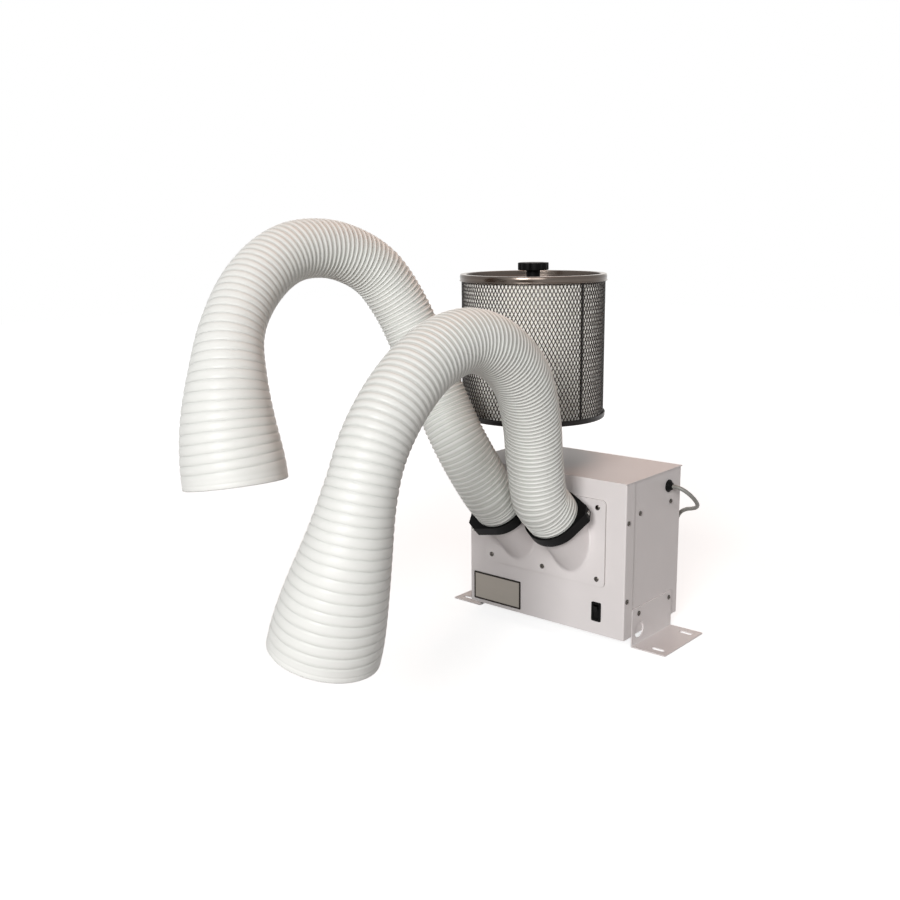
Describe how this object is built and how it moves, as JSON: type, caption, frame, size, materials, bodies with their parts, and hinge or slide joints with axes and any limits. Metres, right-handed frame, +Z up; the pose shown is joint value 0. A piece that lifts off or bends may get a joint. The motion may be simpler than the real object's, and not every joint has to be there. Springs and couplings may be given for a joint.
{
  "type": "bench-top fume extractor",
  "caption": "Bench fume extractor: sheet-steel blower cabinet on slotted feet, ribbed self-supporting hose arms with flared mouths, and a round filter on top.",
  "frame": {"origin": "on the bench plane, below the middle of the cabinet", "axes": "+Z up, the cabinet's front and the arms face -Y, +X to the right as seen from the front"},
  "size_m": [0.4473, 0.9189, 0.6542],
  "materials": {
    "cabinet_paint": "semi-gloss powder coat, warm off-white",
    "plated_steel": "zinc plated",
    "black_plastic": "moulded, satin",
    "hose_vinyl": "glossy cream-white vinyl with raised ribs",
    "gasket_rubber": "closed-cell foam",
    "nameplate_aluminium": "brushed",
    "galvanised_steel": "galvanised",
    "filter_paper": "pleated filter paper",
    "cord_jacket": "dark grey PVC",
    "dark_steel": "dark enamel"
  },
  "bodies": {
    "cabinet": {"chassis": "cabinet_paint", "front_cover": "cabinet_paint", "inlet_gasket": "gasket_rubber", "inlet_plate": "cabinet_paint", "spigot_right": "cabinet_paint", "spigot_left": "cabinet_paint", "inlet_plate_screw_1": "plated_steel", "inlet_plate_screw_2": "plated_steel", "inlet_plate_screw_3": "plated_steel", "inlet_plate_screw_4": "plated_steel", "inlet_plate_screw_5": "plated_steel", "inlet_plate_screw_6": "plated_steel", "cover_screw_1": "plated_steel", "cover_screw_2": "plated_steel", "side_screw_1": "plated_steel", "side_screw_2": "plated_steel", "foot_screw_1": "plated_steel", "foot_screw_2": "plated_steel", "foot_bracket_right": "cabinet_paint", "foot_bracket_left": "cabinet_paint", "nameplate": "nameplate_aluminium", "switch_housing": "black_plastic", "blower_scroll": "galvanised_steel", "motor_body": "dark_steel", "motor_end_cap": "nameplate_aluminium", "blower_cradle": "galvanised_steel", "blower_stand": "galvanised_steel", "run_capacitor": "nameplate_aluminium", "terminal_block": "black_plastic", "outlet_neck": "cabinet_paint", "filter_rod": "plated_steel", "cord_gland": "black_plastic", "power_cord": "cord_jacket", "cord_coil": "cord_jacket", "plug": "black_plastic", "cord_tie": "black_plastic"},
    "rocker": {"switch_rocker": "black_plastic"},
    "blower_wheel": {"blower_wheel": "galvanised_steel", "motor_shaft": "plated_steel"},
    "filter": {"filter_gasket": "gasket_rubber", "filter_bottom_cap": "dark_steel", "filter_top_cap": "plated_steel", "filter_screen": "galvanised_steel", "filter_media": "filter_paper", "filter_core": "galvanised_steel"},
    "knob": {"filter_knob": "black_plastic"},
    "arm_right": {"collar_right": "black_plastic", "collar_screw_right": "plated_steel", "hose_right_lower": "hose_vinyl", "hose_right_bend": "hose_vinyl"},
    "arm_right_arch": {"hose_right_arch": "hose_vinyl", "hose_right_wrist": "hose_vinyl"},
    "arm_right_bell": {"hose_right_bell": "hose_vinyl"},
    "arm_left": {"collar_left": "black_plastic", "collar_screw_left": "plated_steel", "hose_left_lower": "hose_vinyl", "hose_left_bend": "hose_vinyl"},
    "arm_left_arch": {"hose_left_arch": "hose_vinyl", "hose_left_wrist": "hose_vinyl"},
    "arm_left_bell": {"hose_left_bell": "hose_vinyl"}
  },
  "joints": [
    {"name": "switch_rock", "type": "hinge", "parent": "cabinet", "child": "rocker", "pos_m": [0.1007, -0.084, 0.0548], "axis": [1, 0, 0], "range_deg": [-18, 0]},
    {"name": "blower_spin", "type": "hinge", "parent": "cabinet", "child": "blower_wheel", "pos_m": [-0.043, 0, 0.122], "axis": [0, 1, 0], "continuous": true},
    {"name": "filter_lift", "type": "slide", "parent": "cabinet", "child": "filter", "axis": [0, 0, 1], "range_m": [0, 0.26]},
    {"name": "knob_turn", "type": "hinge", "parent": "filter", "child": "knob", "pos_m": [-0.085, 0, 0.57], "axis": [0, 0, 1], "continuous": true},
    {"name": "arm_right_swivel", "type": "hinge", "parent": "cabinet", "child": "arm_right", "pos_m": [0.0505, -0.1251, 0.203], "axis": [0, -0.7071, 0.7071], "range_deg": [-8, 30]},
    {"name": "arm_right_bend", "type": "hinge", "parent": "arm_right", "child": "arm_right_arch", "pos_m": [0.06051, -0.19548, 0.32052], "axis": [0.9993, 0.038, 0], "range_deg": [-15, 12], "deforming": ["hose_right_bend"]},
    {"name": "arm_right_tilt", "type": "hinge", "parent": "arm_right_arch", "child": "arm_right_bell", "pos_m": [0.10858, -0.58518, 0.37558], "axis": [0.9993, 0.038, 0], "range_deg": [-25, 25], "deforming": ["hose_right_wrist"]},
    {"name": "arm_left_swivel", "type": "hinge", "parent": "cabinet", "child": "arm_left", "pos_m": [-0.0505, -0.1251, 0.203], "axis": [0, -0.7071, 0.7071], "range_deg": [-30, 8]},
    {"name": "arm_left_bend", "type": "hinge", "parent": "arm_left", "child": "arm_left_arch", "pos_m": [-0.07103, -0.20126, 0.31557], "axis": [0.986, -0.167, 0], "range_deg": [-15, 12], "deforming": ["hose_left_bend"]},
    {"name": "arm_left_tilt", "type": "hinge", "parent": "arm_left_arch", "child": "arm_left_bell", "pos_m": [-0.17868, -0.5313, 0.53043], "axis": [0.986, -0.167, 0], "range_deg": [-25, 25], "deforming": ["hose_left_wrist"]}
  ]
}
